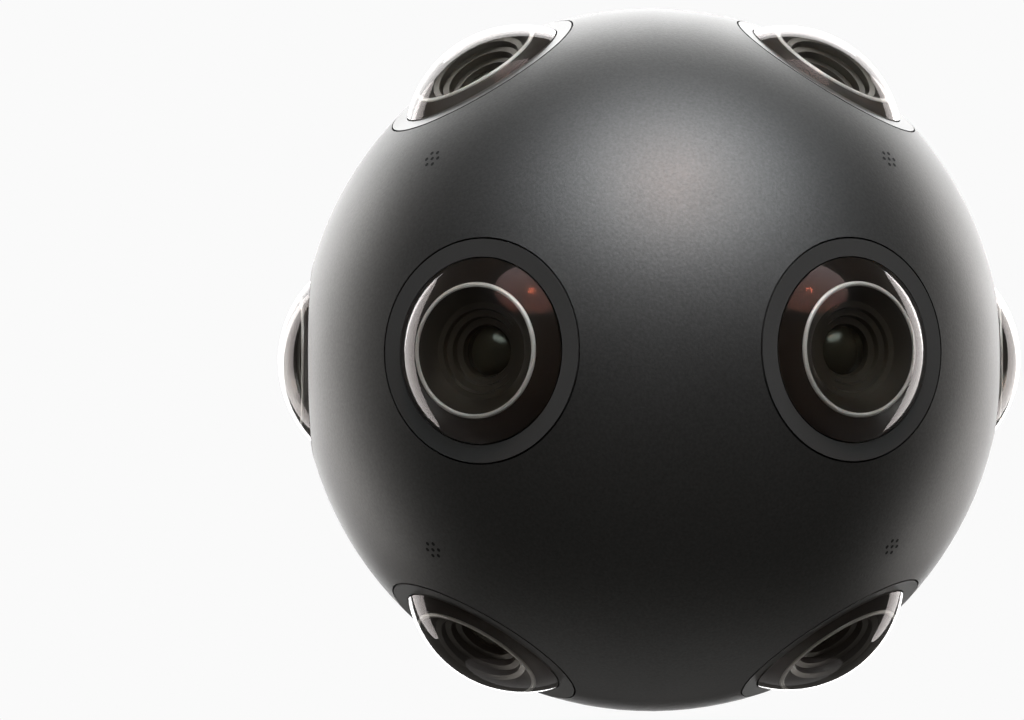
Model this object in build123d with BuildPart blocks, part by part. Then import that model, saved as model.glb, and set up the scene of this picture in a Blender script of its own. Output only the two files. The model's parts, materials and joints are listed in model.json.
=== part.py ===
"""A 360 degree camera: a ball with eight fisheye lenses, and a tail that takes a battery and memory cartridge.

The origin is the mouth of the large tripod thread under the tail. The camera looks along -Y, +Z is up, and left
and right are those of the operator behind the tail, so left is +X. Distances behind the ball centre are called
back, and run along +Y. Lengths are in millimetres.
"""
from build123d import *
from math import atan, cos, degrees, hypot, radians, sin, sqrt
import os

os.makedirs("parts", exist_ok=True)

# Clearances and cuts
overrun = 2.0  # how far every cutting tool runs past the face it starts from
slip_fit = 0.1  # radial gap of a turned piece in its seat
slide_fit = 0.3  # gap of the cartridge in its bay, on each side
running_fit = 0.06  # radial gap of the fan shaft in its bearing
key_gap = 0.1  # gap round the power button, the light and the latch

# The ball
ball_radius = 80.0
ball_wall = 6.0
split_back = 32.0  # the joint between front and rear shell, behind the ball centre
gasket_thickness = 0.8
gasket_width = 4.8
gasket_inset = 0.2

# Where the lenses and microphones look, in degrees from straight ahead and above the horizon
front_azimuth = 30.0
side_azimuth = 90.0
tier_azimuth = 60.0
tier_elevation = degrees(atan(sqrt(2)))
mic_azimuth = 45.0
mic_elevation = 31.0

# One lens, its bezel and its barrel
glass_radius = 19.0
glass_proud = 0.22  # the rim of the glass above the bezel
glass_rise = 8.12  # the dome above its rim
glass_edge = 3.3
glass_middle = 4.0  # thickness on the axis
bezel_radius = 22.87
seam_gap = 0.4  # groove between bezel and shell
glass_gap = 0.25  # groove between bezel and glass
barrel_radius = 20.5
flange_depth = 20.0  # from the ball's surface in to the flat that the barrel's flange seats on
flange_side = 46.0
flange_corner = 8.0
flange_thickness = 2.5
barrel_neck_radius = 17.0
barrel_end_radius = 12.5
mouth_radius = 14.2
bore_radius = 8.9
mouth_depth = 8.5
inner_lens_thickness = 4.0
inner_lens_rise = 2.6
sensor_board_side = 27.0
sensor_board_gap = 3.0  # between the corners of neighbouring boards
board_thickness = 1.6
sensor_side = 11.5
sensor_thickness = 1.4
flex_plug_length = 16.0
flex_plug_width = 4.0
flex_plug_height = 3.0

# One microphone
mic_radius = 3.1
mic_skin = 1.5  # wall left over the microphone
mic_length = 6.0

# The tail
tail_width = 100.0
tail_height = 88.0
tail_flat = 32.0  # the straight part of the tail's sides, between its corners
tail_sink = 8.0  # how deep in the ball the tail starts
rim_back = 124.0
tail_end_back = 184.0
tail_fillet = 7.0
tail_wall = 5.0
tail_floor = 6.0  # also the thickness of the tail's top
bulkhead_back = 94.0
bulkhead_thickness = 4.0
bay_wall = 8.0
bay_floor = 10.0
bay_corner = 18.0

# The frame, boards, heat sink and fan in the ball and tail
frame_thickness = 4.0
frame_ledge = 2.6
frame_window_radius = 15.0
frame_window_place = 38.0
frame_window_count = 4
frame_hub_radius = 13.0
standoff_radius = 2.6
standoff_length = 9.6
standoff_spacing_x = 64.0
standoff_spacing_z = 56.0
main_board_width = 78.0
main_board_height = 70.0
main_board_corner = 6.0
chip_side = 30.0
chip_thickness = 2.0
socket_length = 20.0
socket_width = 5.0
socket_height = 4.0
socket_pitch_x = 44.0
socket_pitch_z = 14.0
sink_margin = 2.0  # from the fan's outline in to the heat sink's
sink_base = 4.0
fin_height = 10.0
fin_thickness = 1.6
fin_count = 9
button_room = 8.0  # above and below the fan
fan_corner = 4.0
fan_thickness = 15.0
fan_rim = 1.5
fan_boss_radius = 12.0
fan_boss_thickness = 3.0
strut_width = 4.0
rotor_hub_radius = 12.5
rotor_gap = 1.0
rotor_shaft_radius = 2.0
blade_tip_gap = 1.0
blade_chord = 11.0
blade_thickness = 1.4
blade_root_depth = 2.0  # sunk into the hub
blade_pitch = 38.0  # degrees
blade_count = 7
power_board_width = 60.0
power_board_room = 15.0  # from the board up to the cavity's top, and down to its floor
boss_inset = 5.0  # from the power board's edges to the middle of its bosses
dock_width = 33.0
dock_height = 12.0
dock_stand = 2.0  # from the power board to the bulkhead
dock_fit = 0.2
dock_slot_width = 28.6
dock_slot_height = 5.4
dock_slot_depth = 5.0
plug_fit = 0.4

# Openings in the tail's sides and floor
port_back = 81.0
port_length = 22.0
port_height = 38.0
port_corner = 5.0
port_plate_lap = 4.0  # both sides together
port_plate_margin = 1.0  # from the port plates to the cavity's corners
port_room = 15.0  # from the cavity's sides to the fan, for the connectors
port_plate_thickness = 2.0
exhaust_slot_count = 7
exhaust_slot_share = 0.5  # of the pitch that is open
intake_back = 79.0
intake_length = 9.0
intake_width = 32.0
intake_corner = 2.0
intake_slot_count = 3
slot_margin = 2.0

# Connectors on the left side
jack_spacing = 20.0
jack_barrel_radius = 4.8
jack_bore_radius = 3.9
jack_bore_depth = 7.0
jack_pin_radius = 0.7
jack_length = 8.5
jack_flange_radius = 6.6
jack_flange_thickness = 1.5
jack_body_radius = 5.0
jack_body_length = 9.0
lug_radius = 0.9
lug_height = 0.9
lug_place = 3.0
inlet_radius = 7.4
inlet_length = 5.0
inlet_bore_radius = 5.2
inlet_bore_depth = 8.0
inlet_pin_radius = 0.6
inlet_pin_length = 3.0
inlet_pin_circle = 2.4
inlet_pin_count = 4
inlet_body_radius = 6.4
inlet_body_length = 8.0

# Power button, its board and the status light on top of the tail
button_back = 84.0
button_radius = 5.5
button_proud = 0.7
button_flange_radius = 7.0
button_flange_thickness = 1.6
button_rest_gap = 0.3
button_travel = 1.2
button_stem_radius = 2.0
switch_side = 6.0
switch_height = 2.6
switch_gap = 0.2
button_board_width = 30.0
button_board_length = 22.0
light_radius = 1.5
light_place = 11.0

# Tripod plate under the tail
thread_back = 97.0
plate_width = 32.0
plate_length = 34.0
plate_thickness = 7.0
plate_corner = 4.0
plate_proud = 1.0  # below its plinth
plinth_margin = 4.0
plinth_depth = 2.0  # below the tail at its root
large_thread_radius = 3.97  # tapping size of 3/8 inch, 16 threads to the inch
small_thread_radius = 2.55  # tapping size of 1/4 inch, 20 threads to the inch
thread_spacing = 14.0
plate_ahead = 11.0  # the plate's front edge ahead of the large thread
screw_inset = 4.2
screw_shank_radius = 1.25
screw_head_radius = 2.4
screw_head_depth = 1.4
screw_length = 9.0

# Cartridge
rim_gap = 0.5
cartridge_wall = 3.0
tongue_wall = 2.5
tongue_gap = 1.0
cap_back = 172.0
cap_fillet = 7.0
cap_wall = 3.0
cap_lip = 4.0
cap_lip_wall = 2.0
cap_lip_depth = 2.0
grip_radius = 26.0
grip_depth = 3.2
grip_back = 152.0
grip_margin = 18.0  # from the cartridge's top and bottom to the finger grips
cell_radius = 9.1
cell_length = 65.0
cell_gap = 0.3
cell_columns = 3
cell_rows = 2
cell_first_back = 117.5
storage_board_gap = 4.2
storage_board_back = 103.0
cartridge_plug_height = 4.6
cartridge_plug_width = 27.8

# Latch on top of the tail
latch_back = 112.0
latch_length = 12.0
latch_width = 14.0
latch_corner = 2.5
latch_pocket_depth = 3.0
latch_travel = 5.0
latch_rib_count = 4
latch_rib_height = 0.8
rib_length_share = 0.7
rib_width_share = 0.5
latch_stem_length = 4.0
latch_stem_width = 7.0
latch_tip_gap = 0.3

# Places worked out from the sizes above
ball_below = tail_height / 2 + plinth_depth + plate_proud
centre = Vector(0, -thread_back, ball_below)
back_axis = Vector(0, 1, 0)
cavity_radius = ball_radius - ball_wall
tail_corner = (tail_height - tail_flat) / 2
tail_reach = hypot(tail_width / 2 - tail_corner, tail_height / 2 - tail_corner) + tail_corner
tail_root_back = sqrt(ball_radius**2 - tail_reach**2) - tail_sink
cavity_width = tail_width - 2 * tail_wall
cavity_height = tail_height - 2 * tail_floor
cavity_corner = (cavity_height - port_height - port_plate_lap) / 2 - port_plate_margin
bay_width = tail_width - 2 * bay_wall
bay_height = tail_height - 2 * bay_floor
bezel_face = sqrt(ball_radius**2 - bezel_radius**2)
glass_rim = bezel_face + glass_proud
glass_tip = glass_rim + glass_rise
glass_seat = glass_rim - glass_edge
flange_seat = ball_radius - flange_depth
barrel_neck = flange_seat - flange_thickness
board_reach = sensor_board_side / sqrt(2)
sensor_back = (board_reach + sensor_board_gap / 2) * sqrt(3)
barrel_end = sensor_back + board_thickness
rear_face_back = split_back + gasket_thickness
frame_back = rear_face_back + frame_thickness
frame_radius = sqrt(cavity_radius**2 - frame_back**2) + frame_ledge
board_back = frame_back + standoff_length
sink_back = board_back + board_thickness + chip_thickness
fan_side = min(cavity_height - 2 * button_room, cavity_width - 2 * port_room)
fan_bore_radius = fan_side / 2 - fan_rim
power_board_height = cavity_height - 2 * power_board_room
sink_side = fan_side - 2 * sink_margin
fan_back = sink_back + sink_base + fin_height
fan_end = fan_back + fan_thickness
bay_back = bulkhead_back + bulkhead_thickness
tongue_back = bay_back + tongue_gap
tongue_width = bay_width - 2 * slide_fit
tongue_height = bay_height - 2 * slide_fit
tongue_corner = bay_corner - slide_fit
block_back = rim_back + rim_gap
cap_inset = cartridge_wall + slip_fit

gasket_radius = sqrt(ball_radius**2 - rear_face_back**2) - gasket_inset
latch_floor = tail_height / 2 - latch_pocket_depth
mic_seat = ball_radius - mic_skin
plinth_width = plate_width + 2 * plinth_margin
plinth_length = plate_length + 2 * plinth_margin
plinth_corner = plate_corner + plinth_margin
screw_spacing = (plate_width - 2 * screw_inset, plate_length - 2 * screw_inset)

lens_places = {
    "front_left": (front_azimuth, 0),
    "front_right": (-front_azimuth, 0),
    "side_left": (side_azimuth, 0),
    "side_right": (-side_azimuth, 0),
    "upper_left": (tier_azimuth, tier_elevation),
    "upper_right": (-tier_azimuth, tier_elevation),
    "lower_left": (tier_azimuth, -tier_elevation),
    "lower_right": (-tier_azimuth, -tier_elevation),
}
front_mic_places = [(side * mic_azimuth, tier * mic_elevation) for side in (1, -1) for tier in (1, -1)]
rear_mic_places = [(side * (180 - mic_azimuth), tier * mic_elevation) for side in (1, -1) for tier in (1, -1)]


def out_of_ball(place):
    """The direction from the ball centre towards a place given by azimuth and elevation."""
    azimuth, elevation = radians(place[0]), radians(place[1])
    return Vector(sin(azimuth) * cos(elevation), -cos(azimuth) * cos(elevation), sin(elevation))


def level(place):
    """The horizontal direction across a place."""
    return Vector(cos(radians(place[0])), sin(radians(place[0])), 0)


def facing(place, height):
    """A plane square to a lens or microphone, height from the ball centre."""
    return Plane(origin=centre + out_of_ball(place) * height, x_dir=level(place), z_dir=out_of_ball(place))


def along(place):
    """The plane of a turned profile: x is the radius and y the height from the ball centre."""
    return Plane(origin=centre, x_dir=level(place), z_dir=level(place).cross(out_of_ball(place)))


def lens_sphere(place, height):
    """A plane across a lens axis, so that a sphere on it has its poles and seam clear of the lens."""
    outward = out_of_ball(place)
    return Plane(origin=centre + outward * height, x_dir=outward * -1, z_dir=level(place))


def turn(place):
    """The axis that a lens's turned pieces turn about."""
    return Axis(centre, out_of_ball(place))


def behind(back, x=0, z=0):
    """A plane square to the tail, back from the ball centre, that faces the rear; its x runs to the right."""
    return Plane(origin=centre + Vector(x, back, z), x_dir=(-1, 0, 0), z_dir=(0, 1, 0))


def overhead(height, back, x=0):
    """A level plane, height from the ball centre, whose x runs to the left and y to the rear."""
    return Plane(origin=centre + Vector(x, back, height), x_dir=(1, 0, 0), z_dir=(0, 0, 1))


def under(height):
    """A level plane above the tripod plate's face, about the plate's middle."""
    return Plane(origin=(0, plate_length / 2 - plate_ahead, height))


def beside(x, back, z=0):
    """An upright plane that faces left, x from the middle, whose x runs to the rear and y up."""
    return Plane(origin=centre + Vector(x, back, z), x_dir=(0, 1, 0), z_dir=(1, 0, 0))


def cap_curve(radius, rise):
    """The radius of the sphere whose cap has this radius and rise."""
    return (radius**2 + rise**2) / (2 * rise)


def block(plane, width, height, depth, corner=0, mode=Mode.ADD):
    """A prism on a plane, with its upright edges rounded where a corner is given."""
    with BuildSketch(plane) as outline:
        if corner > 0:
            RectangleRounded(width, height, corner)
        else:
            Rectangle(width, height)
    extrude(outline.sketch, amount=depth, mode=mode)


def disc(plane, radius, depth, mode=Mode.ADD):
    """A round bar or a round hole on a plane."""
    with BuildSketch(plane) as outline:
        Circle(radius)
    extrude(outline.sketch, amount=depth, mode=mode)


def save(piece, name):
    """Label a finished piece and write its file."""
    piece.part.label = name
    export_step(piece.part, f"parts/{name}.step")


def ball(radius, seam, mode=Mode.ADD):
    """A ball about the ball centre, with its poles at the sides and its seam where it is cut away."""
    with Locations(Plane(origin=centre, x_dir=seam, z_dir=(1, 0, 0))):
        Sphere(radius, mode=mode)


def cut_microphone(place):
    """The bore that one microphone sits in, from inside up to the skin that its sound holes pierce."""
    disc(facing(place, flange_seat), mic_radius + slip_fit, mic_seat - flange_seat, Mode.SUBTRACT)


# Room inside the ball: a smaller ball with a flat where each barrel's flange seats
with BuildPart() as ball_room:
    ball(cavity_radius, back_axis)
    for place in lens_places.values():
        split(bisect_by=facing(place, flange_seat), keep=Keep.BOTTOM)

# Front shell: the ball ahead of the joint, with a stepped hole for each lens
with BuildPart() as front_shell:
    ball(ball_radius, back_axis)
    add(ball_room.part, mode=Mode.SUBTRACT)
    split(bisect_by=behind(split_back), keep=Keep.BOTTOM)
    for place in lens_places.values():
        disc(facing(place, glass_seat), bezel_radius + seam_gap, ball_radius, Mode.SUBTRACT)
        disc(facing(place, flange_seat - overrun), barrel_radius + slip_fit, ball_radius, Mode.SUBTRACT)
    for place in front_mic_places:
        cut_microphone(place)
save(front_shell, "front_shell")

# Gasket between the shells
with BuildPart() as shell_gasket:
    with BuildSketch(behind(split_back)):
        Circle(gasket_radius)
        Circle(gasket_radius - gasket_width, mode=Mode.SUBTRACT)
    extrude(amount=gasket_thickness)
save(shell_gasket, "shell_gasket")

# Rear shell: the back of the ball and the tail in one casting
with BuildPart() as rear_shell:
    ball(ball_radius, back_axis * -1)
    block(behind(tail_root_back), tail_width, tail_height, rim_back - tail_root_back, tail_corner)
    root_edges = rear_shell.edges().filter_by(lambda edge: edge.geom_type != GeomType.LINE)
    root_edges = root_edges.filter_by_position(Axis.Y, centre.Y + tail_root_back, centre.Y + ball_radius)
    fillet(root_edges, tail_fillet)
    split(bisect_by=behind(rear_face_back), keep=Keep.TOP)
    block(under(plate_proud), plinth_width, plinth_length, plinth_depth + tail_floor / 2, plinth_corner)
    ball(cavity_radius, back_axis * -1, Mode.SUBTRACT)
    disc(behind(rear_face_back), frame_radius + slip_fit, frame_thickness, Mode.SUBTRACT)
    cavity_length = bulkhead_back - tail_root_back
    block(behind(tail_root_back), cavity_width, cavity_height, cavity_length, cavity_corner, Mode.SUBTRACT)
    block(behind(bay_back), bay_width, bay_height, rim_back - bay_back + overrun, bay_corner, Mode.SUBTRACT)
    with BuildSketch(behind(bulkhead_back - dock_stand)) as bosses:
        with GridLocations(power_board_width - 2 * boss_inset, power_board_height - 2 * boss_inset, 2, 2):
            Circle(standoff_radius)
    extrude(bosses.sketch, amount=dock_stand)
    dock_hole = (dock_width + 2 * dock_fit, dock_height + 2 * dock_fit)
    block(behind(bulkhead_back), *dock_hole, bulkhead_thickness, mode=Mode.SUBTRACT)
    for side_wall in (beside(cavity_width / 2, port_back), beside(-tail_width / 2 - overrun, port_back)):
        block(side_wall, port_length, port_height, tail_wall + overrun, port_corner, Mode.SUBTRACT)
    intake_floor = overhead(-tail_height / 2 - overrun, intake_back)
    block(intake_floor, intake_width, intake_length, tail_floor + overrun, intake_corner, Mode.SUBTRACT)
    disc(overhead(cavity_height / 2, button_back), button_radius + key_gap, tail_floor + overrun, Mode.SUBTRACT)
    light_hole = overhead(cavity_height / 2, button_back, light_place)
    disc(light_hole, light_radius + key_gap, tail_floor + overrun, Mode.SUBTRACT)
    latch_room = (latch_width + 2 * key_gap, latch_length + 2 * key_gap + latch_travel)
    latch_pocket = overhead(latch_floor, latch_back - latch_travel / 2)
    block(latch_pocket, *latch_room, latch_pocket_depth + overrun, latch_corner, Mode.SUBTRACT)
    stem_room = (latch_stem_width + 2 * key_gap, latch_stem_length + 2 * key_gap + latch_travel)
    stem_slot = overhead(bay_height / 2, latch_back - latch_travel / 2)
    block(stem_slot, *stem_room, latch_floor - bay_height / 2, mode=Mode.SUBTRACT)
    plate_pocket = (plate_width + 2 * key_gap, plate_length + 2 * key_gap)
    block(under(0), *plate_pocket, plate_thickness, plate_corner + key_gap, Mode.SUBTRACT)
    with BuildSketch(under(0)) as screw_holes:
        with GridLocations(*screw_spacing, 2, 2):
            Circle(screw_shank_radius)
    extrude(screw_holes.sketch, amount=screw_length, mode=Mode.SUBTRACT)
    for place in rear_mic_places:
        cut_microphone(place)
save(rear_shell, "rear_shell")

# Eight lens modules, each of a bezel, a front lens, a barrel and a sensor board
for name, place in lens_places.items():
    with BuildPart() as lens_bezel:
        with BuildSketch(facing(place, glass_seat)):
            Circle(bezel_radius)
            Circle(glass_radius + glass_gap, mode=Mode.SUBTRACT)
        extrude(amount=bezel_face - glass_seat)
    save(lens_bezel, f"bezel_{name}")

    # The front lens is a thick dome, hollowed from behind
    with BuildPart() as front_lens:
        disc(facing(place, glass_seat), glass_radius, glass_tip - glass_seat + overrun)
        dome_radius = cap_curve(glass_radius, glass_rise)
        with Locations(lens_sphere(place, glass_tip - dome_radius)):
            Sphere(dome_radius, mode=Mode.INTERSECT)
        hollow_rise = glass_tip - glass_middle - glass_seat
        hollow_radius = cap_curve(mouth_radius, hollow_rise)
        with Locations(lens_sphere(place, glass_tip - glass_middle - hollow_radius)):
            Sphere(hollow_radius, mode=Mode.SUBTRACT)
    save(front_lens, f"front_lens_{name}")

    # The barrel narrows to its sensor, and its square flange seats on the flat inside the shell
    with BuildPart() as lens_barrel:
        block(facing(place, barrel_neck), flange_side, flange_side, flange_thickness, flange_corner)
        disc(facing(place, barrel_neck), bore_radius, flange_thickness, Mode.SUBTRACT)
        with BuildSketch(along(place)):
            with BuildLine():
                Polyline(
                    (bore_radius, barrel_end),
                    (barrel_end_radius, barrel_end),
                    (barrel_neck_radius, barrel_neck),
                    (barrel_neck_radius, flange_seat),
                    (barrel_radius, flange_seat),
                    (barrel_radius, glass_seat),
                    (mouth_radius, glass_seat),
                    (bore_radius, glass_seat - mouth_depth),
                    close=True,
                )
            make_face()
        revolve(axis=turn(place))
    save(lens_barrel, f"lens_barrel_{name}")

    with BuildPart() as sensor_board:
        board = facing(place, sensor_back)
        block(board, sensor_board_side, sensor_board_side, board_thickness)
        block(board.offset(board_thickness), sensor_side, sensor_side, sensor_thickness)
        block(board, flex_plug_length, flex_plug_width, -flex_plug_height)
    save(sensor_board, f"sensor_board_{name}")

# The inner lenses, one in each barrel's bore
with BuildPart() as inner_lenses:
    inner_back = glass_seat - mouth_depth - inner_lens_thickness
    for place in lens_places.values():
        with BuildPart(mode=Mode.PRIVATE) as inner_lens:
            lens_tip = inner_back + inner_lens_thickness + inner_lens_rise
            lens_radius = cap_curve(bore_radius, inner_lens_rise)
            disc(facing(place, inner_back), bore_radius, lens_tip - inner_back + overrun)
            with Locations(lens_sphere(place, lens_tip - lens_radius)):
                Sphere(lens_radius, mode=Mode.INTERSECT)
        add(inner_lens.part)
save(inner_lenses, "inner_lenses")

# The microphones, one behind each group of sound holes
with BuildPart() as microphones:
    for place in front_mic_places + rear_mic_places:
        disc(facing(place, mic_seat - mic_length), mic_radius, mic_length)
save(microphones, "microphones")

# The round frame that stands in the rear shell's mouth and carries the main board
with BuildPart() as core_frame:
    with BuildSketch(behind(rear_face_back)):
        Circle(frame_radius)
        Circle(frame_hub_radius, mode=Mode.SUBTRACT)
        with PolarLocations(frame_window_place, frame_window_count):
            Circle(frame_window_radius, mode=Mode.SUBTRACT)
    extrude(amount=frame_thickness)
    with BuildSketch(behind(frame_back)):
        with GridLocations(standoff_spacing_x, standoff_spacing_z, 2, 2):
            Circle(standoff_radius)
    extrude(amount=standoff_length)
save(core_frame, "core_frame")

# Main board with its processor and eight sockets for the sensor cables
with BuildPart() as main_board:
    block(behind(board_back), main_board_width, main_board_height, board_thickness, main_board_corner)
    block(behind(board_back + board_thickness), chip_side, chip_side, chip_thickness)
    with BuildSketch(behind(board_back)):
        with GridLocations(socket_pitch_x, socket_pitch_z, 2, 4):
            Rectangle(socket_length, socket_width)
    extrude(amount=-socket_height)
save(main_board, "main_board")

# Heat sink with upright fins on the processor
with BuildPart() as heat_sink:
    block(behind(sink_back), sink_side, sink_side, sink_base)
    with BuildSketch(behind(sink_back + sink_base)):
        with GridLocations((sink_side - fin_thickness) / (fin_count - 1), 0, fin_count, 1):
            Rectangle(fin_thickness, sink_side)
    extrude(amount=fin_height)
save(heat_sink, "heat_sink")

# Fan: a square frame with a bearing on four struts, and a rotor that turns in it
with BuildPart() as fan_frame:
    block(behind(fan_back), fan_side, fan_side, fan_thickness, fan_corner)
    disc(behind(fan_back), fan_bore_radius, fan_thickness, Mode.SUBTRACT)
    boss_plane = behind(fan_end - fan_boss_thickness)
    strut_length = fan_bore_radius + fan_side / 2
    with BuildSketch(boss_plane):
        Rectangle(strut_length, strut_width)
        Rectangle(strut_width, strut_length)
        Circle(fan_boss_radius)
    extrude(amount=fan_boss_thickness)
    disc(boss_plane, rotor_shaft_radius + running_fit, fan_boss_thickness, Mode.SUBTRACT)
save(fan_frame, "fan_frame")

with BuildPart() as fan_rotor:
    hub_end = fan_end - fan_boss_thickness - rotor_gap
    hub_back = fan_back + rotor_gap
    disc(behind(hub_back), rotor_hub_radius, hub_end - hub_back)
    disc(behind(hub_end), rotor_shaft_radius, rotor_gap + fan_boss_thickness)
    blade_tip = fan_bore_radius - blade_tip_gap
    blade_root = rotor_hub_radius - blade_root_depth
    hub_middle = centre + back_axis * (hub_back + hub_end) / 2
    pitch = radians(blade_pitch)
    for blade in range(blade_count):
        turned = radians(blade * 360 / blade_count)
        spoke = Vector(cos(turned), 0, sin(turned))
        chord = spoke.cross(back_axis) * cos(pitch) + back_axis * sin(pitch)
        root = Plane(origin=hub_middle + spoke * blade_root, x_dir=chord, z_dir=spoke)
        block(root, blade_chord, blade_thickness, blade_tip - blade_root)
save(fan_rotor, "fan_rotor")

# Power board against the bulkhead, with the cartridge's socket on it
with BuildPart() as power_board:
    board_front = bulkhead_back - dock_stand - board_thickness
    block(behind(board_front), power_board_width, power_board_height, board_thickness, main_board_corner)
save(power_board, "power_board")

with BuildPart() as dock_socket:
    block(behind(bulkhead_back - dock_stand), dock_width, dock_height, dock_stand + bulkhead_thickness)
    slot_plane = behind(bay_back - dock_slot_depth)
    block(slot_plane, dock_slot_width, dock_slot_height, dock_slot_depth, mode=Mode.SUBTRACT)
save(dock_socket, "dock_socket")

# Exhaust grille on the right and connector plate on the left, both from inside against the tail's walls
with BuildPart() as exhaust_grille:
    grille_face = beside(-cavity_width / 2, port_back)
    plate_size = (port_length + port_plate_lap, port_height + port_plate_lap)
    block(grille_face, *plate_size, port_plate_thickness, port_corner)
    slot_pitch = (port_height - 2 * slot_margin) / exhaust_slot_count
    with BuildSketch(grille_face):
        with GridLocations(0, slot_pitch, 1, exhaust_slot_count):
            Rectangle(port_length - 2 * slot_margin, slot_pitch * exhaust_slot_share)
    extrude(amount=port_plate_thickness, mode=Mode.SUBTRACT)
save(exhaust_grille, "exhaust_grille")

with BuildPart() as intake_grille:
    grille_floor = overhead(-cavity_height / 2, intake_back)
    block(grille_floor, intake_width + port_plate_lap, intake_length + port_plate_lap, port_plate_thickness)
    intake_pitch = intake_length / intake_slot_count
    with BuildSketch(grille_floor):
        with GridLocations(0, intake_pitch, 1, intake_slot_count):
            Rectangle(intake_width - 2 * slot_margin, intake_pitch * exhaust_slot_share)
    extrude(amount=port_plate_thickness, mode=Mode.SUBTRACT)
save(intake_grille, "intake_grille")

jack_face = beside(cavity_width / 2, port_back, jack_spacing / 2)
inlet_face = beside(cavity_width / 2, port_back, -jack_spacing / 2)
with BuildPart() as connector_plate:
    plate_inside = beside(cavity_width / 2 - port_plate_thickness, port_back)
    block(plate_inside, *plate_size, port_plate_thickness, port_corner)
    disc(jack_face, jack_body_radius + slip_fit, -port_plate_thickness, Mode.SUBTRACT)
    disc(inlet_face, inlet_body_radius + slip_fit, -port_plate_thickness, Mode.SUBTRACT)
save(connector_plate, "connector_plate")

# Video jack with two bayonet lugs and a middle contact
with BuildPart() as video_jack:
    disc(jack_face, jack_flange_radius, jack_flange_thickness)
    disc(jack_face, jack_barrel_radius, jack_length)
    disc(jack_face, jack_body_radius, -jack_body_length)
    lug_plane = Plane(origin=jack_face.offset(jack_length - lug_place).origin, x_dir=(1, 0, 0), z_dir=(0, 0, 1))
    with BuildSketch(lug_plane):
        Circle(lug_radius)
    extrude(amount=jack_barrel_radius + lug_height, both=True)
    disc(jack_face.offset(jack_length - jack_bore_depth), jack_bore_radius, jack_bore_depth, Mode.SUBTRACT)
    disc(jack_face.offset(jack_length - jack_bore_depth), jack_pin_radius, jack_bore_depth - lug_height)
save(video_jack, "video_jack")

# Power inlet with four pins
with BuildPart() as power_inlet:
    disc(inlet_face, inlet_radius, inlet_length)
    disc(inlet_face, inlet_body_radius, -inlet_body_length)
    inlet_floor = inlet_face.offset(inlet_length - inlet_bore_depth)
    disc(inlet_floor, inlet_bore_radius, inlet_bore_depth, Mode.SUBTRACT)
    with BuildSketch(inlet_floor):
        with PolarLocations(inlet_pin_circle, inlet_pin_count):
            Circle(inlet_pin_radius)
    extrude(amount=inlet_pin_length)
save(power_inlet, "power_inlet")

# Power button, the board under it and the status light
button_top = tail_height / 2 + button_proud
flange_top = cavity_height / 2 - button_rest_gap
button_board_top = fan_side / 2 + board_thickness
switch_top = button_board_top + switch_height
with BuildPart() as power_button:
    disc(overhead(flange_top, button_back), button_radius, button_top - flange_top)
    disc(overhead(flange_top, button_back), button_flange_radius, -button_flange_thickness)
    stem_end = switch_top + button_travel + switch_gap
    disc(overhead(flange_top, button_back), button_stem_radius, stem_end - flange_top)
save(power_button, "power_button")

with BuildPart() as button_board:
    board_middle = (fan_end + button_back) / 2
    block(overhead(fan_side / 2, board_middle), button_board_width, button_board_length, board_thickness)
    block(overhead(button_board_top, button_back), switch_side, switch_side, switch_height)
save(button_board, "button_board")

with BuildPart() as status_light:
    disc(overhead(button_board_top, button_back, light_place), light_radius, tail_height / 2 - button_board_top)
save(status_light, "status_light")

# Tripod plate with its two threads, and the screws that hold it
with BuildPart() as tripod_plate:
    block(under(0), plate_width, plate_length, plate_thickness, plate_corner)
    disc(Plane.XY, large_thread_radius, plate_thickness, Mode.SUBTRACT)
    disc(Plane(origin=(0, thread_spacing, 0)), small_thread_radius, plate_thickness, Mode.SUBTRACT)
    with BuildSketch(under(0)) as countersinks:
        with GridLocations(*screw_spacing, 2, 2):
            Circle(screw_head_radius + slip_fit)
    extrude(countersinks.sketch, amount=screw_head_depth, mode=Mode.SUBTRACT)
    with BuildSketch(under(0)) as shank_holes:
        with GridLocations(*screw_spacing, 2, 2):
            Circle(screw_shank_radius + slip_fit)
    extrude(shank_holes.sketch, amount=plate_thickness, mode=Mode.SUBTRACT)
save(tripod_plate, "tripod_plate")

with BuildPart() as plate_screws:
    with BuildSketch(under(0)) as heads:
        with GridLocations(*screw_spacing, 2, 2):
            Circle(screw_head_radius)
    extrude(heads.sketch, amount=screw_head_depth)
    with BuildSketch(under(0)) as shanks:
        with GridLocations(*screw_spacing, 2, 2):
            Circle(screw_shank_radius)
    extrude(shanks.sketch, amount=screw_length)
save(plate_screws, "plate_screws")

# Cartridge: case, cap, cells between two pads, storage board and plug
with BuildPart() as cartridge_case:
    block(behind(tongue_back), tongue_width, tongue_height, block_back - tongue_back, tongue_corner)
    block(behind(block_back), tail_width, tail_height, cap_back - block_back, tail_corner)
    tongue_room = (tongue_width - 2 * tongue_wall, tongue_height - 2 * tongue_wall)
    tongue_depth = cap_back - tongue_back - tongue_wall
    block(
        behind(tongue_back + tongue_wall), *tongue_room, tongue_depth, tongue_corner - tongue_wall, Mode.SUBTRACT
    )
    case_room = (tail_width - 2 * cartridge_wall, tail_height - 2 * cartridge_wall)
    case_front = block_back + cartridge_wall
    case_corner = tail_corner - cartridge_wall
    block(behind(case_front), *case_room, cap_back - case_front, case_corner, Mode.SUBTRACT)
    block(behind(tongue_back), cartridge_plug_width, cartridge_plug_height, tongue_wall, mode=Mode.SUBTRACT)
    grip_height = tail_height - 2 * grip_margin
    for side in (1, -1):
        grip_x = side * (tail_width / 2 + grip_radius - grip_depth)
        disc(overhead(-grip_height / 2, grip_back, grip_x), grip_radius, grip_height, Mode.SUBTRACT)
save(cartridge_case, "cartridge_case")

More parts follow.
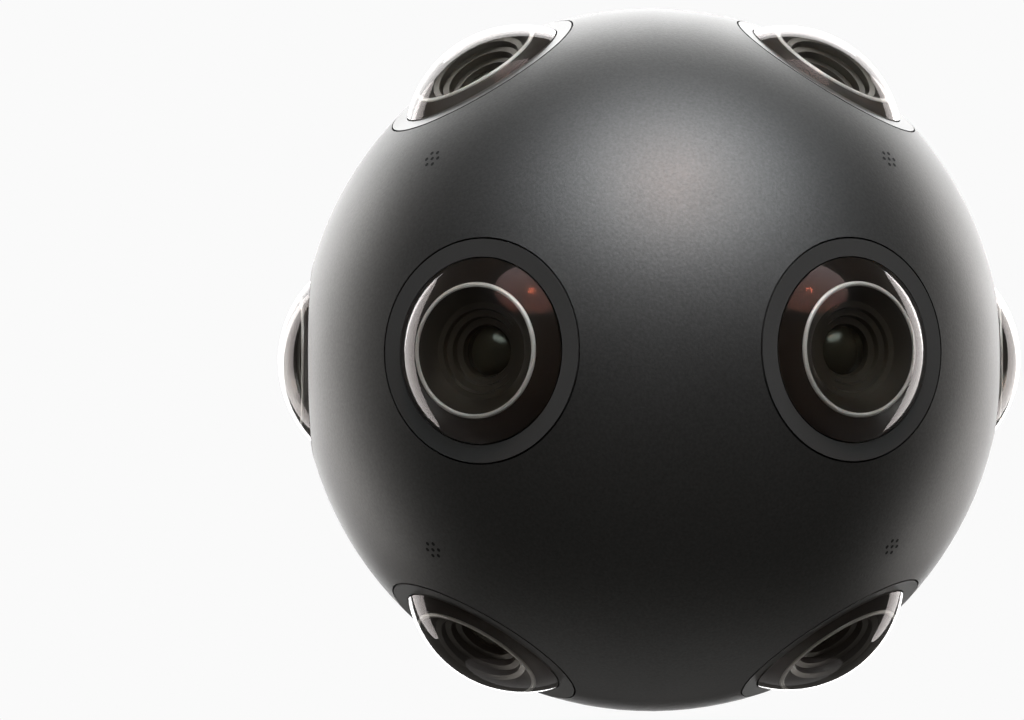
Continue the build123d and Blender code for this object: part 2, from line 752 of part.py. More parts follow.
with BuildPart() as cartridge_cap:
    block(behind(cap_back), tail_width, tail_height, tail_end_back - cap_back, tail_corner)
    fillet(cartridge_cap.faces().sort_by(Axis.Y)[-1].edges(), cap_fillet)
    cap_room = (tail_width - 2 * cap_inset, tail_height - 2 * cap_inset)
    cap_corner = tail_corner - cap_inset
    lip_plane = behind(cap_back - cap_lip)
    block(lip_plane, *cap_room, cap_lip + cap_wall, cap_corner)
    lip_room = (cap_room[0] - 2 * cap_lip_wall, cap_room[1] - 2 * cap_lip_wall)
    lip_depth = cap_lip + cap_lip_depth
    block(lip_plane, *lip_room, lip_depth, cap_corner - cap_lip_wall, Mode.SUBTRACT)
save(cartridge_cap, "cartridge_cap")

with BuildPart() as battery_cells:
    cell_pitch = 2 * cell_radius + cell_gap
    pack_middle = cell_first_back + (cell_columns - 1) * cell_pitch / 2
    with BuildSketch(beside(0, pack_middle)):
        with GridLocations(cell_pitch, cell_pitch, cell_columns, cell_rows):
            Circle(cell_radius)
    extrude(amount=cell_length / 2, both=True)
save(battery_cells, "battery_cells")

with BuildPart() as cell_pads:
    pad_thickness = (tongue_room[0] - cell_length) / 2
    pad_height = tongue_height - 2 * tongue_corner
    for x in (cell_length / 2, -cell_length / 2 - pad_thickness):
        block(beside(x, pack_middle), cell_columns * cell_pitch, pad_height, pad_thickness)
save(cell_pads, "cell_pads")

# Storage board, whose plug reaches through the tongue into the dock socket
with BuildPart() as storage_board:
    board_size = (tongue_room[0] - 2 * storage_board_gap, tongue_room[1] - 2 * storage_board_gap)
    block(behind(storage_board_back), *board_size, board_thickness, main_board_corner)
    plug_front = bay_back - dock_slot_depth + plug_fit
    block(behind(plug_front), cartridge_plug_width, cartridge_plug_height, storage_board_back - plug_front)
save(storage_board, "storage_board")

# Latch that slides forward to free the cartridge
with BuildPart() as cartridge_latch:
    block(overhead(latch_floor, latch_back), latch_width, latch_length, latch_pocket_depth, latch_corner - key_gap)
    rib_pitch = latch_length / (latch_rib_count + 1)
    with BuildSketch(overhead(tail_height / 2, latch_back)):
        with GridLocations(0, rib_pitch, 1, latch_rib_count):
            Rectangle(latch_width * rib_length_share, rib_pitch * rib_width_share)
    extrude(amount=latch_rib_height)
    stem_length = latch_floor - tongue_height / 2 - latch_tip_gap
    block(overhead(latch_floor, latch_back), latch_stem_width, latch_stem_length, -stem_length)
save(cartridge_latch, "cartridge_latch")
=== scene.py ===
"""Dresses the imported 360 degree camera: glass, lens throats, sound holes, finishes and a studio stage.

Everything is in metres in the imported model's frame: the origin is the mouth of the large tripod thread,
the camera looks along -Y and +Z is up. Heights of a lens are counted from the middle of the ball, out
along the lens's axis.
"""

import json
from math import atan, cos, degrees, pi, radians, sin, sqrt

import bmesh
import bpy
from mathutils import Matrix, Vector


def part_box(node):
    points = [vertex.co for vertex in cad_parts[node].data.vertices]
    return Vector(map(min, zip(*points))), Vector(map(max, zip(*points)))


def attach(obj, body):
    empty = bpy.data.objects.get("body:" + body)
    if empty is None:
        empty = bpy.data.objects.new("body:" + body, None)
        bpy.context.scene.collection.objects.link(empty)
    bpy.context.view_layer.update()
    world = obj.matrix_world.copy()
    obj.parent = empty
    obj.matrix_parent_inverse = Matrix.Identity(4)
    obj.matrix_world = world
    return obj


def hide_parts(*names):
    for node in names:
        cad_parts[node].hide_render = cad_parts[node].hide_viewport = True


bl_info = {
    "name": "360 Degree Camera",
    "version": (1, 0, 0),
    "blender": (4, 5, 0),
    "location": "View3D > Sidebar > Camera",
    "description": "Glass, finishes and studio for a ball-shaped 360 degree camera",
    "category": "Object",
}

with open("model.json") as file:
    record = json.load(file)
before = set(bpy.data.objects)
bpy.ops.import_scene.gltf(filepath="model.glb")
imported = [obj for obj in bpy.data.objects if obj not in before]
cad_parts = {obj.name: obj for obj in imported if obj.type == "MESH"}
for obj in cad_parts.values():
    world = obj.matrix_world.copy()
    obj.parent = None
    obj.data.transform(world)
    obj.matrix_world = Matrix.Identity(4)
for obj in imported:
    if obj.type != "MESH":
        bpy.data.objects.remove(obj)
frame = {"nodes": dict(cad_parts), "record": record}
nodes = frame["nodes"]
mounts = {mount["name"]: mount for mount in frame["record"]["mounts"]}
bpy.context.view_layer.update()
body = "camera_body"
mm = 0.001

# Where the eight lenses look, in degrees to the left of straight ahead and above the horizon
front_azimuth, side_azimuth, tier_azimuth = 30, 90, 60
tier_elevation = degrees(atan(sqrt(2)))
lens_places = {
    "front_left": (front_azimuth, 0),
    "front_right": (-front_azimuth, 0),
    "side_left": (side_azimuth, 0),
    "side_right": (-side_azimuth, 0),
    "upper_left": (tier_azimuth, tier_elevation),
    "upper_right": (-tier_azimuth, tier_elevation),
    "lower_left": (tier_azimuth, -tier_elevation),
    "lower_right": (-tier_azimuth, -tier_elevation),
}
# The microphones stand between the lenses, above and below the middle
mic_azimuths, mic_elevation = (45, -45, 135, -135), 31
mic_places = [(azimuth, rise) for azimuth in mic_azimuths for rise in (mic_elevation, -mic_elevation)]

# The ball's middle and radius, from the box of its front shell
front_low, front_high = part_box("front_shell")
ball_radius = (front_high[2] - front_low[2]) / 2
ball_middle = Vector((0, front_low[1] + ball_radius, (front_high[2] + front_low[2]) / 2))

# One lens's glass, from the box of the left side lens, whose axis is +X
glass_low, glass_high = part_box("front_lens_side_left")
glass_radius = (glass_high[1] - glass_low[1]) / 2
glass_tip = glass_high[0] - ball_middle.x
glass_seat = glass_low[0] - ball_middle.x


def out_of_ball(place):
    """The direction from the ball's middle towards a place."""
    azimuth, elevation = radians(place[0]), radians(place[1])
    return Vector((sin(azimuth) * cos(elevation), -cos(azimuth) * cos(elevation), sin(elevation)))


def facing(place):
    """The matrix that stands a turned piece, made along +Z, on its place."""
    across = Vector((cos(radians(place[0])), sin(radians(place[0])), 0))
    outward = out_of_ball(place)
    turn = Matrix((across, outward.cross(across), outward)).transposed().to_4x4()
    return Matrix.Translation(ball_middle) @ turn


def linear(code):
    """A linear colour from an sRGB hex code."""
    parts = [int(code[i : i + 2], 16) / 255 for i in (1, 3, 5)]
    return [c / 12.92 if c <= 0.04045 else ((c + 0.055) / 1.055) ** 2.4 for c in parts]


# Small functions that build materials

# Depth of a finish's relief, how much coarser its uneven gloss is than its grain, and how uneven
relief_depth = 0.05 * mm
gloss_coarseness = 40
gloss_spread = 0.1


def add_node(tree, kind, settings=None, **inputs):
    """A new node, with its settings and the constants on its sockets."""
    made = tree.nodes.new(kind)
    for name, value in (settings or {}).items():
        setattr(made, name, value)
    for name, value in inputs.items():
        made.inputs[name.replace("_", " ")].default_value = value
    return made


def finish(name, colour, metallic, roughness, grain=900.0, relief=0.1, spread=0.06, **sockets):
    """A procedural finish: a base colour with faint mottling, uneven gloss and a fine relief."""
    material = bpy.data.materials.new(name)
    material.use_nodes = True
    tree = material.node_tree
    surface = tree.nodes["Principled BSDF"]
    surface.inputs["Metallic"].default_value = metallic
    for socket, value in sockets.items():
        surface.inputs[socket.replace("_", " ")].default_value = value
    place = add_node(tree, "ShaderNodeTexCoord")
    fine = add_node(tree, "ShaderNodeTexNoise", Scale=grain, Detail=4.0, Roughness=0.6)
    coarse = grain / gloss_coarseness
    broad = add_node(tree, "ShaderNodeTexNoise", Scale=coarse, Detail=3.0, Roughness=0.5)
    shade = add_node(tree, "ShaderNodeMapRange", To_Min=1 - spread, To_Max=1 + spread)
    tint = add_node(tree, "ShaderNodeVectorMath", {"operation": "SCALE"})
    tint.inputs[0].default_value = colour[:3]
    smoothest, mattest = roughness * (1 - gloss_spread), min(roughness * (1 + gloss_spread), 1.0)
    gloss = add_node(tree, "ShaderNodeMapRange", To_Min=smoothest, To_Max=mattest)
    bump = add_node(tree, "ShaderNodeBump", Strength=relief, Distance=relief_depth)
    link = tree.links.new
    link(place.outputs["Object"], fine.inputs["Vector"])
    link(place.outputs["Object"], broad.inputs["Vector"])
    link(fine.outputs["Fac"], shade.inputs["Value"])
    link(shade.outputs["Result"], tint.inputs["Scale"])
    link(tint.outputs["Vector"], surface.inputs["Base Color"])
    link(broad.outputs["Fac"], gloss.inputs["Value"])
    link(gloss.outputs["Result"], surface.inputs["Roughness"])
    link(fine.outputs["Fac"], bump.inputs["Height"])
    link(bump.outputs["Normal"], surface.inputs["Normal"])
    return material


def paint(material, *names):
    """Put one material in every slot of the named CAD nodes."""
    for name in names:
        mesh = nodes[name].data
        mesh.materials.clear()
        mesh.materials.append(material)


# Small functions that build meshes


def make_object(name, mesh, material):
    """A new object with one material that moves with the camera's body."""
    made = bpy.data.objects.new(name, mesh)
    bpy.context.scene.collection.objects.link(made)
    mesh.materials.append(material)
    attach(made, body)
    return made


def mesh_of(name, shape):
    """The finished mesh of a shape."""
    mesh = bpy.data.meshes.new(name)
    shape.to_mesh(mesh)
    shape.free()
    return mesh


def turned_mesh(name, profile, matrix, steps=96):
    """A mesh turned about the axis of its place from points of radius and height."""
    shape = bmesh.new()
    rings = []
    for radius, height in profile:
        if radius == 0:
            rings.append([shape.verts.new((0, 0, height))])
        else:
            turns = [2 * pi * step / steps for step in range(steps)]
            rings.append([shape.verts.new((radius * cos(a), radius * sin(a), height)) for a in turns])
    for low, high in zip(rings, rings[1:]):
        for step in range(steps):
            after = (step + 1) % steps
            if len(low) == 1 and len(high) == 1:
                continue
            if len(low) == 1:
                shape.faces.new((low[0], high[step], high[after]))
            elif len(high) == 1:
                shape.faces.new((low[step], high[0], low[after]))
            else:
                shape.faces.new((low[step], high[step], high[after], low[after]))
    bmesh.ops.recalc_face_normals(shape, faces=shape.faces)
    shape.transform(matrix)
    return mesh_of(name, shape)


def ridge_mesh(name, bore, pitch, height, steps=24):
    """The helical ridge of a thread, standing inward from the wall of a mount's bore."""
    shape = bmesh.new()
    wall = bore["dims"]["r_mm"] * mm
    depth = bore["dims"]["length_mm"] * mm
    # At its root the ridge takes four fifths of the pitch
    half_root = 0.4 * pitch
    section = ((wall, -half_root), (wall - height, 0), (wall, half_root))
    rows = []
    for step in range(int((depth / pitch - 1) * steps) + 1):
        turn = 2 * pi * step / steps
        climb = half_root + pitch * step / steps
        rows.append([shape.verts.new((r * cos(turn), r * sin(turn), climb + z)) for r, z in section])
    for low, high in zip(rows, rows[1:]):
        for side in range(3):
            after = (side + 1) % 3
            shape.faces.new((low[side], high[side], high[after], low[after]))
    shape.faces.new(rows[0])
    shape.faces.new(rows[-1])
    bmesh.ops.recalc_face_normals(shape, faces=shape.faces)
    shape.transform(Matrix.Translation(bore["pos_m"]))
    return mesh_of(name, shape)


def smooth(mesh, sharp):
    """Smooth shading that keeps edges sharper than an angle in degrees."""
    mesh.shade_smooth()
    mesh.set_sharp_from_angle(angle=radians(sharp))


def arc(curve_radius, tip, reach, steps):
    """Points on a cap about the axis, from its tip out to a radius."""
    middle = tip - curve_radius
    points = []
    for step in range(steps + 1):
        radius = reach * step / steps
        points.append((radius, middle + sqrt(curve_radius**2 - radius**2)))
    return points


# Small functions that declare settings


def number(name, description, value, **limits):
    """A setting for a plain number."""
    return bpy.props.FloatProperty(name=name, description=description, default=value, **limits)


def length(name, description, value):
    """A setting for a length, in metres."""
    return number(name, description, value, unit="LENGTH")


def angle(name, description, value):
    """A setting for an angle, given in degrees."""
    return number(name, description, radians(value), subtype="ANGLE")


def colour(name, description, code):
    """A setting for a colour, given as an sRGB hex code."""
    tone = linear(code)
    return bpy.props.FloatVectorProperty(name=name, description=description, default=tone, subtype="COLOR")


class LensSettings(bpy.types.PropertyGroup):
    """Sizes and colours of the glass and of what shows through it."""

    rise: length("Dome rise", "Height of the dome above its rim", 8.12 * mm)
    face_depth: length("Face depth", "From the tip of the glass down to the face inside it", 8.5 * mm)
    ring_radius: length("Ring radius", "Middle of the bright ring in that face", 12.4 * mm)
    ring_width: length("Ring width", "Width of the bright ring", 1.0 * mm)
    pupil_depth: length("Pupil depth", "From the tip of the glass down to the pupil", 15.2 * mm)
    pupil_radius: length("Pupil radius", "Radius of the pupil", 4.0 * mm)
    glass_colour: colour("Glass", "Tint of the glass", "#F3F0EB")
    throat_colour: colour("Throat", "Inside of the lens", "#312D24")
    collar_colour: colour("Collar", "Band between glass edge and ring", "#28211B")
    ring_colour: colour("Ring", "Bright ring", "#E8E7E3")


class BodySettings(bpy.types.PropertyGroup):
    """Colours and finish of the shells, and the sound holes."""

    shell_colour: colour("Shell", "Anodised shell", "#525251")
    bezel_colour: colour("Bezel", "Anodised bezels", "#515150")
    shell_roughness: number("Roughness", "How matt the shell is", 0.47, min=0, max=1, subtype="FACTOR")
    hole_radius: length("Sound hole", "Radius of one sound hole", 0.45 * mm)
    hole_pitch: length("Hole pitch", "Between neighbouring holes", 1.7 * mm)


class FittingSettings(bpy.types.PropertyGroup):
    """Sizes of the threads and of the insulators in the connectors."""

    large_pitch: length("Large pitch", "Of the large tripod thread, 16 to the inch", 25.4 / 16 * mm)
    small_pitch: length("Small pitch", "Of the small tripod thread, 20 to the inch", 25.4 / 20 * mm)
    ridge: length("Ridge", "Height of the thread's ridge", 0.4 * mm)
    jack_bore: length("Jack bore", "Radius of the sleeve in the video jack", 3.8 * mm)
    jack_drop: length("Jack drop", "From the jack's mouth down to its sleeve", 2.6 * mm)
    sleeve: length("Sleeve", "Depth of the hole round the middle contact", 4.2 * mm)
    contact_hole: length("Contact hole", "Radius of that hole", 1.1 * mm)
    inlet_bore: length("Inlet bore", "Radius of the disc in the power inlet", 5.1 * mm)
    inlet_drop: length("Inlet drop", "From the inlet's mouth down to its disc", 7.6 * mm)


class StageSettings(bpy.types.PropertyGroup):
    """The studio round the object and the camera that looks at it."""

    azimuth: angle("Azimuth", "Of the camera, from straight ahead", -2.907)
    elevation: angle("Elevation", "Of the camera, above the ball's middle", -1.718)
    distance: length("Distance", "From the ball's middle", 609 * mm)
    roll: angle("Roll", "Of the camera", -0.265)
    lens: number("Focal length", "Of the camera, in millimetres", 93.2)
    sensor: number("Sensor", "Width of the camera's sensor, in millimetres", 36.0)
    shift: number("Shift", "Sideways shift, as a share of the picture's width", -0.1357)
    backdrop: colour("Backdrop", "Colour behind the object", "#FAFAFA")
    fill_colour: colour("Fill colour", "Colour of the light from all round", "#FDF7F0")
    fill: number("Fill", "Strength of the light from all round", 0.09, min=0)
    floor_drop: length("Floor drop", "From the origin down to the floor", 1.1)
    floor_reach: length("Floor reach", "From the middle of the floor to its edge", 3.0)
    floor_glow: number("Floor glow", "Own light of the floor", 0.6, min=0)
    upper_colour: colour("Upper light", "Colour of the box overhead", "#F0F8FF")
    side_colour: colour("Side light", "Colour of the two side boxes", "#FCF8F6")
    lamp_colour: colour("Lamp", "Colour of the small lamp that shows in the front glasses", "#FFB487")


class OBJECT_OT_dress_shells(bpy.types.Operator):
    """Give the shells, bezels and cartridge their bead-blasted finish"""

    bl_idname = "object.dress_shells"
    bl_label = "Dress shells"

    def execute(self, context):
        settings = context.scene.body_settings
        # Bead-blasted and anodised aluminium: dark grey, matt, with a visible fine grain
        matt = settings.shell_roughness
        blasted = finish(
            "blasted_anodised_aluminium", settings.shell_colour, 0.9, matt,
            grain=1600, relief=0.6, spread=0.35,
        )
        # Turned and finely blasted aluminium of the bezels: smoother, with less grain
        turned = finish(
            "turned_anodised_aluminium", settings.bezel_colour, 0.5, 0.4,
            grain=2200, relief=0.25, spread=0.1,
        )
        paint(blasted, "front_shell", "rear_shell", "cartridge_case", "cartridge_cap")
        paint(turned, *["bezel_" + name for name in lens_places])
        # Moulded silicone rubber: black and dull
        rubber = finish("silicone_rubber", linear("#0D0D0D"), 0.0, 0.7, grain=1200, relief=0.1)
        paint(rubber, "shell_gasket")
        return {"FINISHED"}


class OBJECT_OT_dress_details(bpy.types.Operator):
    """Give the tail's fittings and the pieces inside their finishes"""

    bl_idname = "object.dress_details"
    bl_label = "Dress details"

    def execute(self, context):
        # Brushed stainless steel: bright grey with a soft gloss
        steel = finish(
            "brushed_stainless_steel", linear("#8E8E8C"), 1.0, 0.32,
            grain=1400, relief=0.2, spread=0.1,
        )
        paint(steel, "tripod_plate", "plate_screws")
        # Nickel plate on turned brass: warm silver and shiny
        nickel = finish(
            "nickel_plate", linear("#B9B6AE"), 1.0, 0.25, grain=900, relief=0.02, spread=0.03
        )
        paint(nickel, "video_jack", "power_inlet", "microphones")
        # Moulded black plastic: half matt, with a fine texture
        plastic = finish("textured_black_plastic", linear("#1B1B1B"), 0.0, 0.5, grain=1500, relief=0.3)
        paint(plastic, "connector_plate", "fan_frame", "fan_rotor")
        paint(plastic, "dock_socket", "cell_pads", "cartridge_latch")
        # Black anodised aluminium: nearly black, half matt
        black = finish("black_anodised_aluminium", linear("#1A1A19"), 0.7, 0.45, grain=1600, relief=0.2)
        paint(black, "exhaust_grille", "intake_grille", *["lens_barrel_" + name for name in lens_places])
        # Satin anodised aluminium: a shade lighter than the shell round the button
        satin = finish("satin_anodised_aluminium", linear("#5C5C5E"), 0.8, 0.5, grain=1800, relief=0.15)
        paint(satin, "power_button")
        # Milled aluminium: bare and pale, with a soft gloss
        milled = finish("milled_aluminium", linear("#A5A6A8"), 1.0, 0.35, grain=1000, relief=0.2)
        paint(milled, "core_frame", "heat_sink")
        # Solder mask on the boards: dark green and glossy
        mask = finish("green_solder_mask", linear("#1E4A2E"), 0.0, 0.35, grain=900, relief=0.1)
        boards = ["sensor_board_" + name for name in lens_places]
        paint(mask, "main_board", "power_board", "button_board", "storage_board", *boards)
        # Shrink sleeve of the cells: blue and glossy
        sleeve = finish("shrink_sleeve", linear("#2F4E7A"), 0.0, 0.25, grain=700, relief=0.05)
        paint(sleeve, "battery_cells")
        # Moulded clear light pipe: pale and glossy
        pipe = finish("clear_light_pipe", linear("#C9D0D2"), 0.0, 0.2, grain=700, relief=0.05)
        paint(pipe, "status_light")
        # Coated glass of the inner lenses: almost black, with a clear shine
        inner = finish(
            "coated_inner_glass", linear("#15121A"), 0.0, 0.05,
            grain=300, relief=0.0, Coat_Weight=1.0,
        )
        paint(inner, "inner_lenses")
        return {"FINISHED"}


class OBJECT_OT_build_lenses(bpy.types.Operator):
    """Make the glass domes and the rings that show through them"""

    bl_idname = "object.build_lenses"
    bl_label = "Build lenses"

    def execute(self, context):
        lens = context.scene.lens_settings
        # Polished glass, one block down to the pupil, whose coating turns reflections a dark red-brown
        coat = {"Specular Tint": (*linear("#6E3C2A"), 1.0), "Coat Weight": 0.06, "Coat Roughness": 0.3}
        clear = {"Transmission Weight": 1.0, "IOR": 1.5}
        clear.update(coat)
        glass = finish(
            "coated_front_glass", lens.glass_colour, 0.0, 0.015,
            grain=60, relief=0.0, spread=0.02, **clear,
        )
        # Blackened metal inside the lens: dark olive, with a slight sheen on its steps
        throat = finish("blackened_lens_throat", lens.throat_colour, 0.3, 0.35, grain=1500, relief=0.02)
        # Edge paint of the glass: brown-black and smooth
        collar = finish("dark_edge_paint", lens.collar_colour, 0.0, 0.3, grain=800, relief=0.0)
        # Machined metal ring: silvery white
        bright = finish("machined_bright_ring", lens.ring_colour, 0.3, 0.35, grain=900, relief=0.0)
        # Polished glass of the pupil: deep olive, with a faintly green reflection
        green = {"Specular Tint": (*linear("#C0CABC"), 1.0)}
        pupil = finish(
            "coated_pupil_glass", linear("#25231A"), 0.0, 0.22, grain=400, relief=0.0, **green
        )

        face = glass_tip - lens.face_depth
        pupil_height = glass_tip - lens.pupil_depth
        outer = arc((glass_radius**2 + lens.rise**2) / (2 * lens.rise), glass_tip, glass_radius, 32)
        cover, foot_margin = 0.1 * mm, 5 * mm
        foot_height = pupil_height - cover
        shoulder = [(glass_radius, glass_seat), (lens.ring_radius + lens.ring_width, glass_seat)]
        foot = [(lens.pupil_radius + foot_margin, foot_height), (0, foot_height)]
        block = outer + shoulder + foot

        # Everything that shows through the glass is sunk in it, so that no inner face mirrors the studio
        bead, bead_steps = lens.ring_width / 2, 8
        turns = [pi * step / bead_steps for step in range(bead_steps + 1)]
        ring = [(lens.ring_radius + bead * cos(turn), face + bead * sin(turn)) for turn in turns]
        edge = glass_radius - cover
        band = [(edge, glass_seat + cover), (edge, face), (lens.ring_radius + bead, face)]

        # The throat slopes in from the ring, then steps down to the pupil in lands joined by short walls
        slope_end, slope_share, lands = 0.68, 0.52, 3
        land_width, land_fall = 0.7, 0.1
        land_radius = lens.ring_radius * slope_end
        land_height = face - (face - pupil_height) * slope_share
        throat_steps = [ring[-1], (land_radius, land_height)]
        drop = (land_height - pupil_height) / lands
        shrink = (land_radius - lens.pupil_radius) / lands
        for land in range(lands):
            radius = land_radius - shrink * (land + land_width)
            throat_steps.append((radius, land_height - drop * (land + land_fall)))
            throat_steps.append((radius - shrink * (1 - land_width), land_height - drop * (land + 1)))

        # The pupil bulges towards the glass
        pupil_rise = 1.6 * mm
        pupil_curve = (lens.pupil_radius**2 + pupil_rise**2) / (2 * pupil_rise)
        pupil_cap = arc(pupil_curve, pupil_height + pupil_rise, lens.pupil_radius, 10)

        # Start of the name, profile, material and the angle above which an edge stays sharp
        parts = (
            ("glass_dome_", block, glass, 40),
            ("lens_collar_", band, collar, 30),
            ("lens_ring_", ring, bright, 30),
            ("lens_throat_", throat_steps, throat, 20),
            ("lens_pupil_", pupil_cap, pupil, 30),
        )
        for name, place in lens_places.items():
            stand = facing(place)
            for title, profile, material, sharp in parts:
                mesh = turned_mesh(title + name, profile, stand)
                smooth(mesh, sharp)
                made = make_object(title + name, mesh, material)
                if title == "glass_dome_":
                    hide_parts("front_lens_" + name)
        return {"FINISHED"}


class OBJECT_OT_build_sound_holes(bpy.types.Operator):
    """Lay dark discs of painted shade, for the mouths of a small group of sound holes, on the shell over
    each microphone
    """

    bl_idname = "object.build_sound_holes"
    bl_label = "Build sound holes"

    def execute(self, context):
        settings = context.scene.body_settings
        # Unlit inside of a hole: black and dull
        dark = finish("sound_hole_shadow", linear("#040404"), 0.0, 0.9, grain=900, relief=0.0)
        shape = bmesh.new()
        around = [(0, 0)]
        ring_holes, clear_of_shell = 6, 0.02 * mm
        for hole in range(ring_holes):
            turn = 2 * pi * hole / ring_holes
            around.append((settings.hole_pitch * cos(turn), settings.hole_pitch * sin(turn)))
        lift = ball_radius + clear_of_shell
        for place in mic_places:
            stand = facing(place)
            for x, y in around:
                spot = Vector((x, y, sqrt(lift**2 - x**2 - y**2)))
                tilt = spot.to_track_quat("Z", "Y").to_matrix().to_4x4()
                matrix = stand @ Matrix.Translation(spot) @ tilt
                size = settings.hole_radius
                bmesh.ops.create_circle(shape, cap_ends=True, segments=16, radius=size, matrix=matrix)
        make_object("sound_holes", mesh_of("sound_holes", shape), dark)
        return {"FINISHED"}


class OBJECT_OT_build_fittings(bpy.types.Operator):
    """Cut the tripod threads and put the insulators into the two connectors"""

    bl_idname = "object.build_fittings"
    bl_label = "Build fittings"

    def execute(self, context):
        settings = context.scene.fitting_settings
        # Cut stainless steel: bright grey and smooth
        cut = finish(
            "cut_stainless_steel", linear("#A3A3A0"), 1.0, 0.28,
            grain=1200, relief=0.05, spread=0.05,
        )
        for size, pitch in (("large", settings.large_pitch), ("small", settings.small_pitch)):
            bore = mounts["tripod_" + size + "_thread"]
            name = size + "_thread_ridge"
            make_object(name, ridge_mesh(name, bore, pitch, settings.ridge), cut)

        # Moulded plastic: ivory white round the middle contact of the jack, black round the inlet's pins
        white = finish(
            "white_insulator", linear("#E4E2DA"), 0.0, 0.45, grain=900, relief=0.05, spread=0.02
        )
        black = finish(
            "black_insulator", linear("#121212"), 0.0, 0.5, grain=900, relief=0.1, spread=0.05
        )
        hole, jack_top, inlet_top = settings.contact_hole, -settings.jack_drop, -settings.inlet_drop
        jack_sleeve = [(hole, jack_top - settings.sleeve), (hole, jack_top)]
        jack_sleeve.append((settings.jack_bore, jack_top))
        inlet_disc = [(0, inlet_top), (settings.inlet_bore, inlet_top)]
        insulators = (("video_jack", jack_sleeve, white), ("power_inlet", inlet_disc, black))
        for title, profile, material in insulators:
            mount = mounts[title]
            name = title + "_insulator"
            aim = Vector(mount["axis"]).to_track_quat("Z", "Y").to_matrix().to_4x4()
            stand = Matrix.Translation(mount["pos_m"]) @ aim
            make_object(name, turned_mesh(name, profile, stand, steps=48), material)
        return {"FINISHED"}


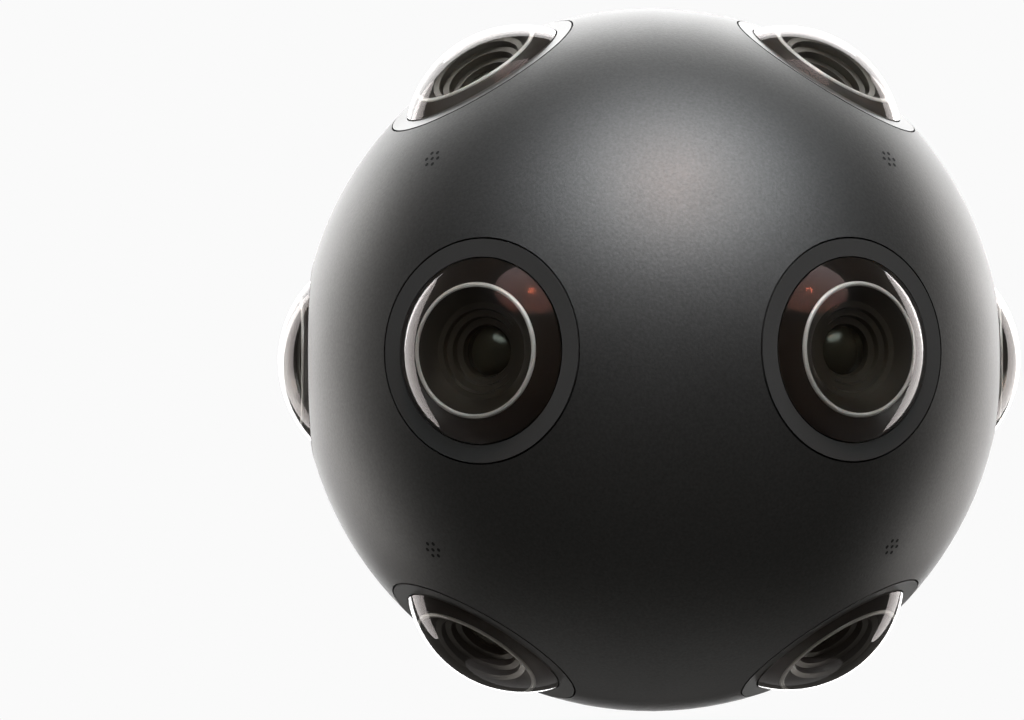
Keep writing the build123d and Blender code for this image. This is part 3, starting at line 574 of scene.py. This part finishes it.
class OBJECT_OT_build_stage(bpy.types.Operator):
    """Set up the pale floor, the soft lights, the white surroundings and the camera"""

    bl_idname = "object.build_stage"
    bl_label = "Build stage"

    def execute(self, context):
        scene = context.scene
        settings = scene.stage_settings
        scene.view_settings.view_transform = "Standard"

        # A pale floor, far enough below that it stays out of the picture
        shape = bmesh.new()
        bmesh.ops.create_grid(shape, x_segments=1, y_segments=1, size=settings.floor_reach)
        shape.transform(Matrix.Translation((0, 0, -settings.floor_drop)))
        floor = bpy.data.objects.new("studio_floor", mesh_of("studio_floor", shape))
        floor.visible_glossy = False
        floor.visible_diffuse = False
        floor.visible_transmission = False
        scene.collection.objects.link(floor)
        # Matt white paper, with a glow of its own that stands in for the lamps over a studio's floor
        glow = {"Emission Color": (*settings.backdrop, 1.0), "Emission Strength": settings.floor_glow}
        paper = finish(
            "studio_paper", linear("#F4F4F4"), 0.0, 0.9, grain=30, relief=0.02, spread=0.01, **glow
        )
        floor.data.materials.append(paper)

        # Lights aimed at the ball's middle: name, width, height, power in watts, colour and place
        white, cool = (1.0, 1.0, 1.0), settings.upper_colour
        warm, amber = settings.side_colour, settings.lamp_colour
        boxes = (
            ("overhead_softbox", 1.0, 0.85, 13.5, cool, (0.08, -0.6, 0.82)),
            ("amber_lamp", 0.1, 0.1, 1.2, amber, (0.066, -0.63, 0.76)),
            ("floor_bounce", 1.2, 1.0, 0.8, white, (0.0, 0.3, -0.9)),
            ("top_rim_light", 1.2, 0.5, 3.2, white, (0.0, 0.7, 0.8)),
            ("left_softbox", 0.5, 1.3, 5.0, warm, (0.79, 0.52, 0.05)),
            ("right_softbox", 0.5, 1.3, 5.0, warm, (-0.79, 0.52, 0.05)),
            ("back_panel", 2.8, 2.4, 58, white, (0.0, 1.2, 0.5)),
        )
        for name, width, height, power, tone, place in boxes:
            light = bpy.data.lights.new(name, "AREA")
            light.color = tone
            light.shape = "ELLIPSE"
            light.size = width
            light.size_y = height
            light.energy = power
            lamp = bpy.data.objects.new(name, light)
            lamp.location = place
            lamp.rotation_euler = (ball_middle - Vector(place)).to_track_quat("-Z", "Y").to_euler()
            lamp.visible_camera = False
            scene.collection.objects.link(lamp)

        # White to the camera and through the glass, and a weaker even fill for everything else
        world = bpy.data.worlds.new("studio_world")
        scene.world = world
        world.use_nodes = True
        tree = world.node_tree
        tree.nodes.clear()
        path = add_node(tree, "ShaderNodeLightPath")
        seen = add_node(tree, "ShaderNodeBackground", Color=(*settings.backdrop, 1.0), Strength=1.0)
        soft, strength = (*settings.fill_colour, 1.0), settings.fill
        fill = add_node(tree, "ShaderNodeBackground", Color=soft, Strength=strength)
        mix = add_node(tree, "ShaderNodeMixShader")
        out = add_node(tree, "ShaderNodeOutputWorld")
        straight = add_node(tree, "ShaderNodeMath", {"operation": "SUBTRACT"})
        tree.links.new(path.outputs["Is Transmission Ray"], straight.inputs[0])
        tree.links.new(path.outputs["Diffuse Depth"], straight.inputs[1])
        clear = add_node(tree, "ShaderNodeMath", {"operation": "SUBTRACT"})
        tree.links.new(straight.outputs["Value"], clear.inputs[0])
        tree.links.new(path.outputs["Glossy Depth"], clear.inputs[1])
        seen_by = add_node(tree, "ShaderNodeMath", {"operation": "MAXIMUM"})
        tree.links.new(path.outputs["Is Camera Ray"], seen_by.inputs[0])
        tree.links.new(clear.outputs["Value"], seen_by.inputs[1])
        tree.links.new(seen_by.outputs["Value"], mix.inputs[0])
        tree.links.new(fill.outputs["Background"], mix.inputs[1])
        tree.links.new(seen.outputs["Background"], mix.inputs[2])
        tree.links.new(mix.outputs["Shader"], out.inputs["Surface"])

        # The camera stands where the photograph was taken and looks at the ball's middle
        azimuth, elevation = settings.azimuth, settings.elevation
        away = Vector((sin(azimuth) * cos(elevation), -cos(azimuth) * cos(elevation), sin(elevation)))
        lens = bpy.data.cameras.new("photo_camera")
        lens.lens = settings.lens
        lens.sensor_width = settings.sensor
        lens.shift_x = settings.shift
        lens.clip_start = 10 * mm
        viewer = bpy.data.objects.new("photo_camera", lens)
        aim = (-away).to_track_quat("-Z", "Y").to_matrix().to_4x4()
        stand = Matrix.Translation(ball_middle + away * settings.distance)
        viewer.matrix_world = stand @ aim @ Matrix.Rotation(settings.roll, 4, "Z")
        scene.collection.objects.link(viewer)
        scene.camera = viewer
        return {"FINISHED"}


class VIEW3D_PT_camera_panel(bpy.types.Panel):
    """Lists the steps that dress the camera, with their settings"""

    bl_idname = "VIEW3D_PT_camera_panel"
    bl_label = "360 degree camera"
    bl_space_type = "VIEW_3D"
    bl_region_type = "UI"
    bl_category = "Camera"

    def draw(self, context):
        for title in groups:
            group = getattr(context.scene, title)
            box = self.layout.box()
            for name in group.__annotations__:
                box.prop(group, name)
        for step in steps:
            self.layout.operator(step.bl_idname)


steps = (
    OBJECT_OT_dress_shells,
    OBJECT_OT_dress_details,
    OBJECT_OT_build_lenses,
    OBJECT_OT_build_sound_holes,
    OBJECT_OT_build_fittings,
    OBJECT_OT_build_stage,
)
groups = {
    "lens_settings": LensSettings,
    "body_settings": BodySettings,
    "fitting_settings": FittingSettings,
    "stage_settings": StageSettings,
}


def register():
    """Register the settings, the steps and the panel."""
    for kind in (*groups.values(), *steps, VIEW3D_PT_camera_panel):
        bpy.utils.register_class(kind)
    for name, group in groups.items():
        setattr(bpy.types.Scene, name, bpy.props.PointerProperty(type=group))


def unregister():
    """Take the panel, the steps and the settings away again."""
    for name in groups:
        delattr(bpy.types.Scene, name)
    for kind in reversed((*groups.values(), *steps, VIEW3D_PT_camera_panel)):
        bpy.utils.unregister_class(kind)


def main():
    """Run every step in order."""
    register()
    bpy.ops.object.dress_shells()
    bpy.ops.object.dress_details()
    bpy.ops.object.build_lenses()
    bpy.ops.object.build_sound_holes()
    bpy.ops.object.build_fittings()
    bpy.ops.object.build_stage()


if __name__ == "__main__":
    main()
